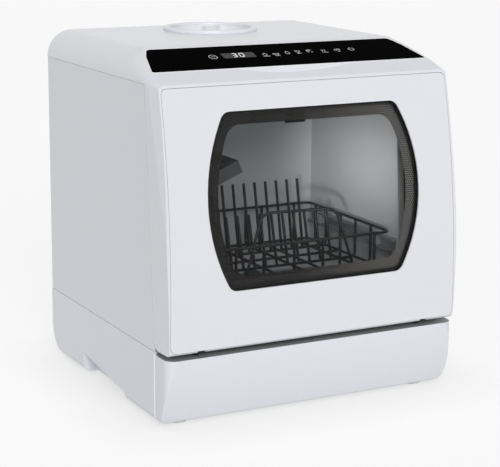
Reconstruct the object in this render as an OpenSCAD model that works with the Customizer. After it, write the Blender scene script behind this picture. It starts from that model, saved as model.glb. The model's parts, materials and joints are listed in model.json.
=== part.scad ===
// Countertop dishwasher with its own water tank: a rounded white casing on a
// plinth, a bellied drop-down door with a barrel-shaped window, a black sloping
// control strip, a round filler on top, and the wash, drain and drying parts inside.
// Millimetres. +Z is up, the door faces -Y, and the feet stand on z = 0.

/* [Casing] */
// Width of the casing
body_w = 420; // [400:1:450]
// Depth from the belly of the door to the back panel
body_d = 394; // [385:1:430]
// Height from the table to the flat of the top cover
body_h = 462; // [455:1:480]
// Wall of the moulded covers
cover_wall = 3; // [2.4:0.1:3.6]
// Thickness of the painted side and back sheets
sheet = 2; // [1.2:0.1:2.5]
// Visible seam between two casing parts
seam = 0.8; // [0.5:0.1:1.2]
// Height of the seam between base and side panels
base_top = 96; // [92:1:100]
// Radius of the long shoulders of the top cover
shoulder_r = 36; // [30:1:40]
// Slope of the control strip and of the top of the door, in degrees
slope_deg = 18; // [15:0.5:21]
// How far the sloping strip has dropped where the door begins
slope_drop = 24; // [20:1:27]

/* [Door] */
// Radius of the bellied front, seen from the side
belly_r = 1130; // [1000:10:1300]
// Height at which the belly is farthest forward
belly_z = 151; // [140:1:165]
// Depth of the door at the height of the top seam
door_depth_top = 67; // [62:1:72]
// Depth of the door at the height of the base
door_depth_bottom = 42; // [38:1:46]
// Gap between the door and what it closes against
door_gap = 1.2; // [1:0.1:1.8]
// Height of the shadow gap under the door
foot_gap = 6; // [5:0.5:8]
// Radius of the outer top corners of the door
door_corner_r = 12; // [8:1:15]
// How much narrower the front is than the seam, on each side at its top
door_taper_top = 5.5; // [3:0.5:7]
// How much narrower the front is than the seam, on each side at its bottom
door_taper_bottom = 2; // [1:0.5:3]
// Thickness of the front face plate
face_t = 2.5; // [2:0.1:3]
// Thickness of the inner liner of the door
liner_t = 2.5; // [2:0.1:3]
// Radius of the hinge pins
pin_r = 2.5; // [2:0.1:3]
// Running clearance of pins and shafts, on the radius
run_clear = 0.1; // [0.05:0.01:0.1]
// Distance of each hinge from the middle
hinge_x = 163; // [150:1:170]

/* [Window] */
// Widest width of the window
window_w = 305; // [280:1:320]
// Height of the window
window_h = 220; // [200:1:228]
// Height of the window's middle above the table
window_z = 282; // [278:1:286]
// Radius of the bulging sides of the window
window_side_r = 220; // [190:5:300]
// Radius of the window's corners
window_corner_r = 14; // [8:1:20]
// Thickness of the curved outer glass
glass_t = 3.2; // [2.5:0.1:4]

/* [Tub] */
// Inside width of the wash chamber
tub_w = 320; // [300:1:330]
// Height of the chamber floor
tub_floor_z = 118; // [116:1:122]
// Height of the chamber roof
tub_roof_z = 394; // [388:1:398]
// Distance from the middle of the casing to the chamber's back wall
tub_back_y = 105; // [98:1:108]
// Corner radius of the chamber
tub_corner_r = 24; // [16:1:30]
// Wall of the chamber
tub_wall = 2; // [1.5:0.1:2.5]

/* [Basket] */
// Diameter of the coated basket wire
wire_d = 4; // [3:0.1:4.5]
// Width of the basket
basket_w = 296; // [270:1:300]
// Depth of the basket
basket_d = 223; // [200:1:224]
// Height of the lowest basket wires, at their middle
basket_floor_z = 156; // [154:1:160]
// Height of the rim wire, at its middle
basket_rim_z = 209; // [195:1:215]
// Radius of the spray arm, from hub to tip
arm_r = 108; // [90:1:112]

/* [Tank] */
// Outer radius of the filler's raised rim
filler_r = 65.5; // [60:0.5:70]
// How far the filler's rim stands above the top cover
filler_rim_h = 5; // [3:0.5:7]
// Width of the water tank
tank_w = 240; // [200:1:250]
// Wall of the water tank
tank_wall = 3; // [2:0.5:4]

/* [Hidden] */
$fn = 64;

white = "#E9EAEE";
light = "#D4D6DA";
grey = "#8B8E91";
dark = "#3A3B3D";
black = "#0B0B0C";
steel = "#B9BBBE";

half_w = body_w / 2;
front_y = -body_d / 2;
back_y = body_d / 2;
top_seam_z = body_h - shoulder_r;
belly_y = front_y + belly_r;
lean = atan((door_depth_top - door_depth_bottom) / (top_seam_z - base_top));
door_top_y = front_y + door_depth_top;
door_top_z = body_h - slope_drop;
break_y = door_top_y + slope_drop / tan(slope_deg);
slope_len = slope_drop / sin(slope_deg);
sill_z = base_top - 3.5;
door_bottom_z = sill_z + foot_gap;
foot_h = 3;
foot_r = 12;
snug = 0.3;
eps = 0.01;
slice_t = 0.25;
lip_t = 2.4;
lip_h = 10;
return_w = 12;
back_inset = 2;
screw_r = 1.5;
strip_u = 8.3;
strip_lip = 1.2;
strip_r = 9;
strip_low_r = 3;
shoulder_mid_r = 23;
shoulder_mid_u = 30;
shoulder_sink = 0.05;
panel_t = 1.6;
board_x = 25;
board_u = 41;
board_size = [260, 46];
display_x = -68;
display_u = 38;
display_size = [55, 15];
filler_y = 113;
filler_hole_r = filler_r - 5.2;

board_box_x = tub_w / 2 + tub_wall + 4;
board_box_size = [half_w - sheet - snug - board_box_x, 160, 130];

// base
tray_front_y = front_y + 34.4;
lap_y = front_y + 43.1;
lap_in = 1.5;
base_rear_r = 44;
base_edge_r = 12;
plinth_r = 178;
plinth_y = front_y + 1 + plinth_r;
plinth_z = base_top + 4;
plinth_corner_r = 15;
grip_y = 80;
grip_len = 141;
grip_d = 21;
grip_z = 31;
grip_low_z = 15;

// back
pocket_x = -95;
pocket_z = 150;
pocket_size = [150, 60];
pocket_d = 30;
pocket_y = back_y - pocket_d;
inlet_x = pocket_x - 45;
drain_x = pocket_x;
mains_x = pocket_x + 48;
thread_r = 13.2;
spigot_r = 10;
fan_x = 146;
fan_z = 340;
fan_r = 32;
fan_size = 80;
fan_d = 30;
fan_y = back_y - back_inset - 2 * sheet - snug - fan_d;
shaft_r = 2.5;
duct_x = 133;
duct_size = [38, 36];

// door and hinges
frame_t = 12;
seal_in = 3;
seal_w = 6;
seal_d = 4;
face_seat = face_t + 0.1;
flange_t = 2.6;
face_inset = 0.9;
face_top_r = 7;
face_bottom_r = 10;
face_groove = 0.5;
glass_lap = 8;
door_low_r = 12;
door_nose_r = 6;
scoop_r = 450;
scoop_rise = 403.1;
scoop_back = 180.7;
liner_open = [300, 216];
liner_open_z = 280;
liner_open_r = 24;
pane_t = 4;
pane_lap = 8;
catch_z = 414.5;
catch_w = 8;
catch_h = 6;
catch_len = 18;
pivot_y = front_y + 10;
pivot_z = door_bottom_z + 6.5;
knuckle_t = 6;
knuckle_r = 5;
ear_t = 2;
ear_gap = 0.4;
hinge_slot_w = knuckle_t + 2 * ear_gap + 2 * ear_t + 0.8;
leg_y = front_y + 18;
leg_d = 8;
bracket_foot_z = 50;

// tub and wash parts
tub_h = tub_roof_z - tub_floor_z;
tub_z = (tub_roof_z + tub_floor_z) / 2;
tub_lap = 12;
sump_y = -88;
sump_r = 36;
sump_low_z = 42;
feed_z = 54;
hub_y = -17;
hub_r = 14;
hub_z = 102;
stem_r = 9;
arm_z = 127;
arm_t = 13;
nozzle_r = 8;
nozzle_wall = 2;
hose_wall = 2.2;
pump_z = feed_z;
volute_r = 34;
motor_r = 27;
drain_pump_x = 100;
drain_pump_r = 20;
drain_z = foot_h + cover_wall + 18;
heater_x = -85;
heater_z = 60;
heater_r = 20;
fill_x = 60;
fill_z = 150;

// basket
basket_y = -23.5;
basket_x1 = basket_w / 2 - wire_d / 2;
basket_y0 = basket_y - basket_d / 2 + wire_d / 2;
basket_y1 = basket_y + basket_d / 2 - wire_d / 2;
long_wires = [-125, -85, -45, 4, 52, 77, 125];
cross_wires = [-85, -45, -5, 35, 65];
rail_z = 182;
rail_gap = 12;
glide_l = 16;
shelf_axis_x = -basket_x1;
shelf_axis_z = basket_rim_z + 80;
shelf_wire_r = wire_d / 2 + 0.5;
shelf_tilt = 22;
shelf_w = 79;
shelf_y0 = -115;
shelf_y1 = 60;
shelf_skirt = 16;

// tank
tank_x = -30;
tank_y0 = 60;
tank_y1 = back_y - 9;
tank_z0 = 195;
tank_z1 = 428;
tank_slab_y = tub_back_y + tub_wall + 9;
tank_floor_z = tub_roof_z + tub_wall + snug;
dish_r = filler_r - 9.5;
throat_r = 40;
ledge_z = body_h - 18;
lid_z = ledge_z + 4;
lid_turn = -28;

// y of the door seam at height z
function seam_y(z) = front_y + door_depth_bottom + (z - base_top) * tan(lean);

// y of the bellied front at height z, at a depth d behind its surface
function belly(z, d = 0) = belly_y - sqrt(pow(belly_r - d, 2) - pow(z - belly_z, 2));

// Points of an arc, with both ends
function arc(cx, cy, r, a0, a1, n = 8) =
    [for (i = [0:n]) let(a = a0 + (a1 - a0) * i / n) [cx + r * cos(a), cy + r * sin(a)]];

// Mirrors a half outline of [x, z] points, drawn up the right side, to close it
function mirrored(pts) =
    concat(pts, [for (i = [len(pts) - 1:-1:0]) [-pts[i][0], pts[i][1]]]);

// A side outline of [y, z] points, carried across the width
module across(w, x = 0) {
    translate([x, 0, 0]) rotate([90, 0, 90]) translate([0, 0, -w / 2]) linear_extrude(w)
        children();
}

// A front outline of [x, z] points, carried from y0 back to y1
module deep(y0, y1) {
    translate([0, y1, 0]) rotate([90, 0, 0]) linear_extrude(y1 - y0) children();
}

// Rectangle about the origin with round corners
module round_rect(w, h, r) {
    polygon(concat(arc(w / 2 - r, h / 2 - r, r, 0, 90), arc(-w / 2 + r, h / 2 - r, r, 90, 180),
        arc(-w / 2 + r, -h / 2 + r, r, 180, 270), arc(w / 2 - r, -h / 2 + r, r, 270, 360)));
}

// A slab parallel to the leaning door seam, from n0 to n1 behind it
module lean_slab(n0, n1) {
    translate([0, seam_y(base_top), base_top]) rotate([-lean, 0, 0])
        translate([-body_w, n0, -body_h]) cube([2 * body_w, n1 - n0, 2 * body_h]);
}

// Everything inside the belly surface moved back by d
module belly_solid(d) {
    translate([0, belly_y, belly_z]) rotate([0, 90, 0])
        cylinder(r = belly_r - d, h = 2 * body_w, center = true, $fn = 360);
}

// Places things on the sloping strip: x across, -y down the slope, z out of it
module on_slope() {
    translate([0, break_y, body_h]) rotate([slope_deg, 0, 0]) children();
}

// Barrel outline of the window, grown by g
module barrel(g) {
    side_x = window_w / 2 + g - window_side_r - g;
    r = window_side_r + g;
    half_h = window_h / 2 + g;
    c = window_corner_r + g;
    a = asin((half_h - c) / (r - c));
    corner_x = side_x + (r - c) * cos(a);
    translate([0, window_z]) polygon(mirrored(concat(
        arc(corner_x, -half_h + c, c, -90, -a, 6),
        arc(side_x, 0, r, -a + 2, a - 2, 14),
        arc(corner_x, half_h - c, c, a, 90, 6))));
}

// ---------- casing ----------

// Cross outline of the top cover at one depth, inset by d and open below
module shoulder_slice(y, top_z, r, d, low_z) {
    x = half_w - d;
    ri = max(r - d, 1);
    deep(y, y + slice_t)
        polygon(mirrored(concat([[x, low_z]], arc(x - ri, top_z - d - ri, ri, 0, 90, 9))));
}

module shoulders(d, low_z) {
    hull() {
        shoulder_slice(back_y - d - slice_t, body_h, shoulder_r, d, low_z);
        shoulder_slice(break_y, body_h, shoulder_r, d, low_z);
        if (d == 0) shoulder_slice(break_y - shoulder_mid_u * cos(slope_deg),
            body_h - shoulder_mid_u * sin(slope_deg) - shoulder_sink, shoulder_mid_r, 0, low_z);
        shoulder_slice(door_top_y + d, door_top_z, door_corner_r, d, low_z);
    }
}

// Half width of the flat part of the slope, u below its upper edge
function flat_half(u) = half_w - (u < shoulder_mid_u
    ? shoulder_r - (shoulder_r - shoulder_mid_r) * u / shoulder_mid_u
    : shoulder_mid_r - (shoulder_mid_r - door_corner_r) * (u - shoulder_mid_u)
        / (slope_len - shoulder_mid_u));

// Outline of the black strip on the slope, grown by g
module strip_outline(g) {
    a = atan((shoulder_r - shoulder_mid_r) / shoulder_mid_u);
    u0 = strip_u - g;
    u1 = slope_len - strip_lip + g;
    low_x = flat_half(u1) + g - strip_low_r;
    r = strip_r + g;
    polygon(mirrored(concat(arc(low_x, strip_low_r - u1, strip_low_r, -90, 10, 5),
        [[flat_half(shoulder_mid_u) + g, -shoulder_mid_u]],
        arc(flat_half(u0 + r) + g - r / cos(a), -u0 - r, r, a, 90, 8))));
}

// Locating lip inside a side panel, across the seam at height z
module locating_lips(z) {
    for (s = [-1, 1])
        translate([s * (half_w - sheet - snug - lip_t / 2), 30, z])
            cube([lip_t, 0.7 * body_d, 2 * lip_h], center = true);
}

module top_cover() {
    color(white) difference() {
        union() {
            difference() {
                shoulders(0, top_seam_z + seam / 2);
                shoulders(cover_wall, top_seam_z - 1);
            }
            locating_lips(top_seam_z);
        }
        on_slope() translate([0, 0, -panel_t]) linear_extrude(10) strip_outline(snug / 2);
        on_slope() translate([board_x, -board_u, -10])
            linear_extrude(20) square(board_size + [1, 1], center = true);
        translate([0, filler_y, top_seam_z]) cylinder(r = filler_hole_r, h = 2 * shoulder_r);
    }
}

module control_panel() {
    color(black) on_slope() translate([0, 0, -panel_t])
        linear_extrude(panel_t) strip_outline(-snug / 2);
}

module display_module() {
    color(dark) on_slope() translate([display_x, -display_u, -panel_t - 9])
        linear_extrude(9) square(display_size, center = true);
}

module touch_board() {
    color("#2E6B4A") on_slope() translate([0, 0, -panel_t - 1.6]) linear_extrude(1.6)
        difference() {
            translate([board_x, -board_u]) square(board_size, center = true);
            translate([display_x, -display_u]) square(display_size + [1, 1], center = true);
        }
}

// Places the rear screws, z pointing out of the back
module at_back_screws() {
    for (s = [-1, 1], z = [base_top + 15, (base_top + top_seam_z) / 2, top_seam_z - 15])
        translate([s * (half_w - return_w / 2), back_y - back_inset, z])
            rotate([-90, 0, 0]) children();
}

// Places the hinge bracket screws, z pointing forward out of the base
module at_bracket_screws() {
    for (s = [-1, 1], x = [-8, 8])
        translate([s * hinge_x + x, tray_front_y - ear_t - 1, bracket_foot_z + 12])
            rotate([90, 0, 0]) children();
}

module side_panel(s) {
    low = base_top + seam / 2;
    high = top_seam_z - seam / 2;
    end_y = back_y - back_inset;
    color(white) difference() {
        union() {
            across(sheet, s * (half_w - sheet / 2)) polygon([[seam_y(low), low], [end_y, low],
                [end_y, high], [seam_y(high), high]]);
            across(return_w, s * (half_w - return_w / 2)) polygon([[end_y - sheet, low],
                [end_y, low], [end_y, high], [end_y - sheet, high]]);
        }
        at_back_screws() cylinder(r = screw_r + 0.1, h = 20, center = true, $fn = 24);
    }
}

module left_side_panel() {
    side_panel(-1);
}

module right_side_panel() {
    side_panel(1);
}

module back_panel() {
    low = base_top + seam / 2;
    high = top_seam_z - seam / 2;
    y1 = back_y - back_inset - sheet;
    w = 2 * (half_w - sheet - snug);
    color(light) difference() {
        union() {
            translate([-w / 2, y1 - sheet, low]) cube([w, sheet, high - low]);
            translate([-w / 2 + lip_h, y1 - sheet, low - lip_h])
                cube([w - 2 * lip_h, sheet, high - low + 2 * lip_h]);
            translate([pocket_x, (pocket_y - sheet + y1) / 2, pocket_z])
                cube([pocket_size[0] + 2 * sheet, y1 - pocket_y + sheet,
                    pocket_size[1] + 2 * sheet], center = true);
        }
        translate([pocket_x, pocket_y + pocket_d, pocket_z])
            cube([pocket_size[0], 2 * pocket_d, pocket_size[1]], center = true);
        for (x = [inlet_x, drain_x])
            translate([x, pocket_y, pocket_z]) rotate([90, 0, 0])
                cylinder(r = spigot_r, h = 3 * sheet, center = true);
        translate([mains_x, pocket_y, pocket_z]) cube([29, 3 * sheet, 21], center = true);
        for (i = [-3:3])
            translate([fan_x, y1, fan_z + 9 * i]) cube([64, 3 * sheet, 4], center = true);
        at_back_screws() cylinder(r = screw_r + 0.1, h = 20, center = true, $fn = 24);
    }
}

module screw() {
    difference() {
        union() {
            cylinder(r = 3.4, h = 1.6, $fn = 24);
            translate([0, 0, -7]) cylinder(r = screw_r, h = 7.1, $fn = 24);
        }
        for (a = [0, 90])
            rotate([0, 0, a]) translate([0, 0, 1.6]) cube([4, 0.8, 1.6], center = true);
    }
}

module case_screws() {
    color(steel) {
        at_back_screws() screw();
        at_bracket_screws() screw();
    }
}

// ---------- base ----------

// Base body from y0 back, inset by d, with its bottom edges rounded
module base_shape(d, w, y0, top) {
    intersection() {
        across(2 * (w - d)) polygon(concat([[y0, top], [y0, foot_h + d]],
            arc(back_y - base_rear_r, foot_h + base_rear_r, base_rear_r - d, -90, 0),
            [[back_y - d, top]]));
        deep(y0 - 1, back_y + 1) polygon(mirrored(concat(
            arc(w - base_edge_r, foot_h + base_edge_r, base_edge_r - d, -90, 0),
            [[w - d, top + 1]])));
    }
}

// Side outline of a carrying recess, grown by g
module grip_outline(g) {
    polygon([[grip_y + g, -1], [grip_y + g, grip_z + g],
        [grip_y - grip_len - g, grip_low_z + g], [grip_y - grip_len - g, -1]]);
}

module base_tray() {
    top = base_top - seam / 2;
    floor_z = foot_h + cover_wall;
    color(light) difference() {
        union() {
            difference() {
                union() {
                    base_shape(0, half_w, lap_y, top);
                    base_shape(0, half_w - lap_in, tray_front_y, top);
                }
                base_shape(cover_wall, half_w, lap_y + cover_wall, top + 1);
                base_shape(cover_wall, half_w - lap_in, tray_front_y + cover_wall, top + 1);
                translate([0, tray_front_y, base_top + sill_z])
                    cube([body_w, 2 * (lap_y - tray_front_y), 2 * base_top], center = true);
            }
            // sill under the door
            translate([-half_w + lap_in + 1, tray_front_y + 1, sill_z - cover_wall])
                cube([body_w - 2 * lap_in - 2, 24, cover_wall]);
            // moulded walls of the carrying recesses
            intersection() {
                for (s = [-1, 1])
                    across(grip_d + cover_wall, s * (half_w - (grip_d + cover_wall) / 2))
                        grip_outline(cover_wall);
                base_shape(0, half_w, lap_y, top);
            }
            // seats of the pump and of the heater
            for (y = [30, 62]) translate([-24, y, floor_z - 1]) cube([48, 5, 26]);
            for (y = [-15, 40]) translate([heater_x - 15, y, floor_z - 1]) cube([30, 5, 40]);
            // posts under the tub
            for (x = [-125, 125], y = [-110, 85]) translate([x, y, floor_z - 1])
                cylinder(r = 6, h = tub_floor_z - tub_wall - floor_z + 1, $fn = 32);
            locating_lips(base_top);
        }
        for (s = [-1, 1])
            across(2 * grip_d, s * half_w) grip_outline(0);
        translate([0, 45, pump_z]) rotate([90, 0, 0])
            cylinder(r = motor_r + snug, h = 80, center = true);
        translate([heater_x, 15, heater_z]) rotate([90, 0, 0])
            cylinder(r = heater_r + snug, h = 90, center = true);
        at_bracket_screws() cylinder(r = screw_r + 0.1, h = 30, center = true, $fn = 24);
    }
}

// Front of the plinth, inset by d, back to y1
module plinth_shape(d, y1) {
    intersection() {
        across(2 * (half_w - d)) polygon([[y1, sill_z - d], [front_y - 1, sill_z - d],
            [front_y - 1, foot_h + 10 + d], [tray_front_y - 12.3, foot_h + 10 + d],
            [tray_front_y - 7.4, foot_h + 3.5 + d], [y1, foot_h + d]]);
        translate([0, plinth_y, plinth_z]) rotate([0, 90, 0])
            cylinder(r = plinth_r - d, h = 2 * body_w, center = true, $fn = 180);
        linear_extrude(body_h) polygon(mirrored(concat(
            arc(half_w - plinth_corner_r, plinth_y - plinth_r + plinth_corner_r,
                plinth_corner_r - d, -90, 0), [[half_w - d, 0]])));
        deep(front_y - 1, 0) polygon(mirrored(concat(
            arc(half_w - base_edge_r, foot_h + base_edge_r, base_edge_r - d, -90, 0),
            [[half_w - d, base_top]])));
    }
}

module base_fascia() {
    color(light) difference() {
        plinth_shape(0, tray_front_y - snug / 2);
        plinth_shape(cover_wall, tray_front_y + 1);
        for (s = [-1, 1])
            translate([s * hinge_x, leg_y + leg_d / 2, sill_z])
                cube([knuckle_t + 2, leg_d + 4, 4 * cover_wall], center = true);
    }
}

module feet() {
    color(dark) difference() {
        for (x = [-176, 176], y = [-150, 158]) translate([x, y, 0]) {
            cylinder(r1 = foot_r - 1, r2 = foot_r, h = 1, $fn = 40);
            translate([0, 0, 1]) cylinder(r = foot_r, h = foot_h + 4, $fn = 40);
        }
        base_shape(0, half_w, tray_front_y, base_top);
    }
}

// ---------- front frame ----------

module tub_outline(g) {
    translate([0, tub_z]) round_rect(tub_w + 2 * g, tub_h + 2 * g, tub_corner_r + g);
}

// Outer outline of the frame behind the door, inset by d
module frame_outline(d) {
    x = half_w - sheet - snug - d;
    x_low = half_w - cover_wall - lap_in - snug - d;
    polygon(mirrored([[x_low, sill_z + d], [x_low, base_top + seam / 2 + d],
        [x, base_top + seam / 2 + d], [x, top_seam_z - seam / 2 - d]]));
}

// Places things against the door seam: x across, y inward, z up along the seam
module on_seam(z) {
    translate([0, seam_y(z), z]) rotate([-lean, 0, 0]) children();
}

// Where the door's hook reaches in
module catch_path(g) {
    translate([-catch_w / 2 - 2 - g, -1, -catch_h / 2 - 3.5 - g])
        cube([catch_w + 4 + 2 * g, catch_len + 4, 14 + 2 * g]);
}

module front_frame() {
    color(light) difference() {
        intersection() {
            lean_slab(0, frame_t);
            deep(front_y, 0) frame_outline(0);
        }
        deep(front_y, 0) tub_outline(0);
        intersection() {
            lean_slab(-1, seal_d);
            deep(front_y, 0) difference() {
                tub_outline(seal_in + seal_w);
                tub_outline(seal_in);
            }
        }
        intersection() {
            lean_slab(cover_wall, frame_t + 1);
            deep(front_y, 0) difference() {
                frame_outline(cover_wall);
                tub_outline(tub_lap);
            }
        }
        on_seam(catch_z) catch_path(0);
    }
}

module door_seal() {
    color(dark) intersection() {
        lean_slab(-door_gap + 0.2, seal_d);
        deep(front_y - 5, 0) difference() {
            tub_outline(seal_in + seal_w - 0.05);
            tub_outline(seal_in + 0.05);
        }
    }
}

module door_lock() {
    color(dark) on_seam(catch_z) difference() {
        translate([-20, frame_t + tub_wall + 0.3, -8]) cube([40, 26, 19]);
        translate([0, frame_t, 0]) catch_path(-0.5);
    }
}

// ---------- door ----------

// Plan of the door, inset by d, from x0 at the seam to x1 at the front, at height z
module door_plan(x0, y0, x1, y1, z) {
    lead = (x0 - x1) / (y0 - y1) * door_depth_top;
    translate([0, 0, z]) linear_extrude(slice_t) polygon([[-x0 - lead, y0 + door_depth_top],
        [-x1 + lead, y1 - door_depth_top], [x1 - lead, y1 - door_depth_top],
        [x0 + lead, y0 + door_depth_top]]);
}

// The door between its two sides, which close in towards the front and the top
module door_sides(d) {
    x = half_w - d;
    hull() {
        door_plan(x, seam_y(base_top), x - door_taper_bottom, front_y, base_top - slice_t);
        door_plan(x, door_top_y, x - door_taper_top, belly(top_seam_z), body_h);
    }
}

// The door's solid shape, inset by d and open towards the back
module door_shape(d) {
    rear = door_gap / cos(lean);
    low = door_bottom_z;
    cz = low + door_low_r;
    nz = low + door_nose_r;
    intersection() {
        belly_solid(d);
        door_sides(d);
        across(2 * (half_w - d)) polygon(concat(
            [[front_y - 9, body_h], [front_y - 9, nz]],
            arc(belly(nz) + door_nose_r, nz, door_nose_r - d, 180, 270, 5),
            arc(seam_y(cz) - rear - door_low_r, cz, door_low_r - d, -90, -lean, 7),
            [[seam_y(cz) + 9, cz], [seam_y(body_h) + 9, body_h]]));
        on_slope() translate([0, 99, -d]) rotate([90, 0, 0]) linear_extrude(3 * body_d)
            polygon(mirrored(concat([[half_w, -2 * body_h]],
                arc(half_w - door_corner_r, -door_corner_r, door_corner_r, 0, 90, 7))));
    }
}

// Finger scoop in the top edge of the door, grown by g
module scoop(g) {
    on_slope() translate([0, scoop_back - slope_len, scoop_rise])
        sphere(r = scoop_r + g, $fn = 200);
}

// Outline of the front face, inset by g
module face_outline(g) {
    x0 = half_w - door_taper_bottom - face_inset - g;
    x1 = half_w - door_taper_top - face_inset - g;
    z0 = door_bottom_z + cover_wall + g;
    z1 = top_seam_z - face_t - g;
    polygon(mirrored(concat(
        arc(x0 - face_bottom_r, z0 + face_bottom_r, face_bottom_r, -90, 0, 5),
        arc(x1 - face_top_r, z1 - face_top_r, face_top_r, 0, 90, 5))));
}

module at_hinges() {
    for (s = [-1, 1]) translate([s * hinge_x, pivot_y, pivot_z]) children();
}

module door_frame() {
    color(light) difference() {
        intersection() {
            door_shape(0);
            lean_slab(-body_d, -door_gap);
        }
        difference() {
            intersection() {
                door_shape(cover_wall);
                belly_solid(face_seat + flange_t);
            }
            scoop(cover_wall);
        }
        difference() {
            deep(front_y - 9, door_top_y) face_outline(0);
            belly_solid(face_seat);
        }
        deep(front_y - 9, door_top_y) barrel(glass_lap + 1);
        scoop(0);
        at_hinges() translate([0, (leg_d + 4.8) / 2, -3.5])
            cube([hinge_slot_w, 2 * knuckle_r + leg_d + 11.2, 23], center = true);
    }
}

module door_face() {
    color(white) intersection() {
        difference() {
            belly_solid(0);
            belly_solid(face_t);
        }
        deep(front_y - 9, door_top_y) difference() {
            face_outline(face_groove);
            barrel(0);
        }
    }
}

module window_glass() {
    color(black, 0.45) intersection() {
        difference() {
            belly_solid(face_seat);
            belly_solid(face_seat + glass_t);
        }
        deep(front_y - 9, door_top_y) barrel(glass_lap);
    }
}

module liner_opening(g) {
    translate([0, liner_open_z])
        round_rect(liner_open[0] + 2 * g, liner_open[1] + 2 * g, liner_open_r + g);
}

module door_liner() {
    color(light) difference() {
        intersection() {
            door_shape(cover_wall + snug);
            lean_slab(-door_gap - liner_t, -door_gap);
        }
        deep(front_y, 0) liner_opening(0);
        scoop(cover_wall + snug);
    }
}

module inner_pane() {
    color(black, 0.3) intersection() {
        lean_slab(-door_gap - liner_t - pane_t - 0.1, -door_gap - liner_t - 0.1);
        deep(front_y, 0) liner_opening(pane_lap);
    }
}

module pane_gasket() {
    color(dark) intersection() {
        lean_slab(-door_gap - liner_t - pane_t - 1, -door_gap - liner_t);
        deep(front_y, 0) difference() {
            liner_opening(pane_lap + 4);
            liner_opening(pane_lap + 0.05);
        }
    }
}

module door_catch() {
    color(dark) on_seam(catch_z) {
        translate([-catch_w / 2, -door_gap, -catch_h / 2])
            cube([catch_w, catch_len + door_gap, catch_h]);
        translate([-catch_w / 2, catch_len - 6, -catch_h / 2 - 2.5]) cube([catch_w, 6, 4]);
    }
}

// Outline of a bracket in its own y and z, with the pivot at the origin
module bracket_outline() {
    leg = leg_y - pivot_y;
    difference() {
        union() {
            circle(r = knuckle_r);
            translate([0, -4]) square([leg + leg_d, 8]);
            translate([leg, bracket_foot_z - pivot_z]) square([leg_d, pivot_z - bracket_foot_z]);
        }
        circle(r = pin_r + run_clear);
        translate([leg + leg_d - 3, 1]) rotate(45) square(9);
    }
}

module hinge_bracket(s) {
    leg_end = leg_y + leg_d - eps;
    plate = ear_t + 1;
    color(black) {
        translate([0, pivot_y, pivot_z]) across(knuckle_t, s * hinge_x) bracket_outline();
        translate([s * hinge_x, (leg_end + tray_front_y) / 2, bracket_foot_z + 4])
            cube([knuckle_t, tray_front_y - leg_end, 8], center = true);
        difference() {
            translate([s * hinge_x - 13, tray_front_y - plate, bracket_foot_z])
                cube([26, plate, 24]);
            at_bracket_screws() cylinder(r = screw_r + 0.1, h = 30, center = true, $fn = 24);
        }
    }
}

module left_hinge_bracket() {
    hinge_bracket(-1);
}

module right_hinge_bracket() {
    hinge_bracket(1);
}

module hinge_plate(s) {
    out = knuckle_t / 2 + ear_gap + ear_t;
    web_y = belly(pivot_z, face_seat + flange_t) + 0.2 - pivot_y;
    color(steel) translate([s * hinge_x, pivot_y, pivot_z]) {
        for (x = [-out + ear_t / 2, out - ear_t / 2])
            across(ear_t, x) difference() {
                union() {
                    circle(r = knuckle_r);
                    translate([web_y, 0]) square([-web_y + knuckle_r, 32]);
                }
                circle(r = pin_r + eps);
            }
        translate([-out, web_y, 12]) cube([2 * out, ear_t, 20]);
    }
}

module left_hinge_plate() {
    hinge_plate(-1);
}

module right_hinge_plate() {
    hinge_plate(1);
}

module hinge_pins() {
    color(steel) at_hinges() rotate([0, 90, 0])
        cylinder(r = pin_r, h = hinge_slot_w - 0.2, center = true, $fn = 48);
}

// ---------- tub and wash system ----------

module tub() {
    color(grey) difference() {
        union() {
            intersection() {
                deep(front_y, tub_back_y + tub_wall) tub_outline(tub_wall);
                lean_slab(frame_t, body_d);
            }
            intersection() {
                lean_slab(frame_t, frame_t + tub_wall);
                deep(front_y, 0) tub_outline(tub_lap);
            }
            translate([fill_x, tub_back_y + 1, fill_z]) rotate([-90, 0, 0])
                cylinder(r = nozzle_r, h = 14);
        }
        deep(front_y, tub_back_y) tub_outline(0);
        translate([0, sump_y, tub_floor_z - 9]) cylinder(r = sump_r, h = 18);
        translate([0, hub_y, tub_floor_z - 9]) cylinder(r = hub_r + snug / 2, h = 18);
        translate([fill_x, tub_back_y, fill_z]) rotate([90, 0, 0])
            cylinder(r = nozzle_r - nozzle_wall, h = 40, center = true);
        translate([duct_x, tub_back_y, fan_z])
            cube([duct_size[0] - 2 * tub_wall, 9, duct_size[1] - 2 * tub_wall], center = true);
    }
}

// A short hose nozzle along z, from the wall of what it belongs to
module nozzle(h) {
    cylinder(r = nozzle_r, h = h, $fn = 40);
}

module sump() {
    top = tub_floor_z - tub_wall;
    color(dark) difference() {
        union() {
            translate([0, sump_y, sump_low_z]) cylinder(r = sump_r + 2, h = top - sump_low_z);
            translate([0, sump_y, top - 3]) cylinder(r = sump_r + 8, h = 3);
            translate([0, sump_y + sump_r, feed_z]) rotate([-90, 0, 0]) nozzle(13);
            translate([sump_r, sump_y, feed_z]) rotate([0, 90, 0]) nozzle(13);
        }
        translate([0, sump_y, sump_low_z + 2]) cylinder(r = sump_r, h = top);
        for (a = [0, 90])
            translate([0, sump_y, feed_z]) rotate([0, 90, a])
                cylinder(r = nozzle_r - nozzle_wall, h = 2 * sump_r, $fn = 40);
    }
}

module filter() {
    color(grey) translate([0, sump_y, 0]) difference() {
        union() {
            translate([0, 0, tub_floor_z]) cylinder(r = sump_r + 6, h = 2);
            translate([0, 0, sump_low_z + 3]) cylinder(r = sump_r - 4, h = tub_floor_z - sump_low_z - 2);
        }
        translate([0, 0, sump_low_z + 5]) cylinder(r = sump_r - 6, h = body_h);
        for (a = [0:30:150])
            rotate([0, 0, a]) translate([0, 0, sump_low_z + 28]) cube([body_w, 5, 36], center = true);
    }
}

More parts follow.
